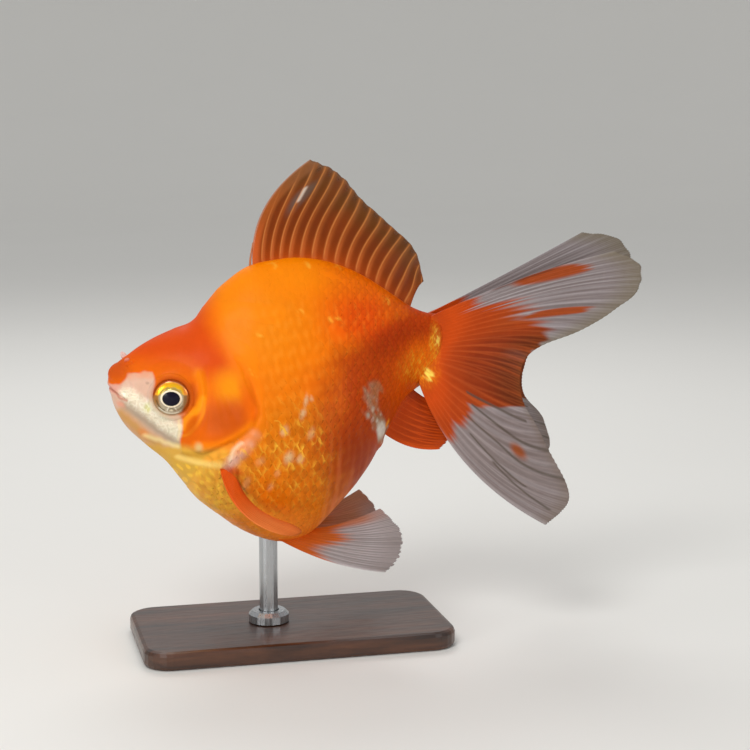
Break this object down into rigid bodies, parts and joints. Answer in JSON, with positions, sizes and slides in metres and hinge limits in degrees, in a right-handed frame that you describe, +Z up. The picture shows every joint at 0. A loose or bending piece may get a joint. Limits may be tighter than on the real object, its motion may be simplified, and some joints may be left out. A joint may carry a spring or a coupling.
{
  "type": "fancy goldfish display model",
  "caption": "Life-size still model of a ryukin-type fancy goldfish, deep humped body, tall back fin and double tail, held over a plain flat base by one rod.",
  "frame": {"origin": "middle of the underside of the stand's base", "axes": "+X from the snout towards the tail, +Y to the fish's right side, +Z up"},
  "size_m": [0.151, 0.0576, 0.1297],
  "materials": {
    "skin": "orange and white scaled skin with a wet shine, darker red-orange behind, golden on the belly, white on the cheek",
    "fin": "thin orange fin with raised rays and darker, slightly clear webs",
    "tail_fin": "thin tail fin, orange at the root and milky white towards the edge, with fine rays",
    "eye": "clear domed eye over a dark pupil and a gold and silver iris",
    "stand_wood": "dark stained wood, satin varnish",
    "stand_steel": "brushed along the rod"
  },
  "bodies": {
    "root": {"head": "skin", "lower_jaw": "skin", "trunk": "skin", "tail_stalk": "skin", "gill_cover_left": "skin", "gill_cover_right": "skin", "eye_left": "eye", "eye_right": "eye", "dorsal_fin": "fin", "pectoral_fin_left": "fin", "pectoral_fin_right": "fin", "pelvic_fin_left": "fin", "pelvic_fin_right": "fin", "anal_fin_left": "fin", "anal_fin_right": "fin", "tail_upper_left": "tail_fin", "tail_lower_left": "tail_fin", "tail_upper_right": "tail_fin", "tail_lower_right": "tail_fin", "stand_base": "stand_wood", "stand_collar": "stand_steel", "stand_rod": "stand_steel"}
  },
  "joints": []
}
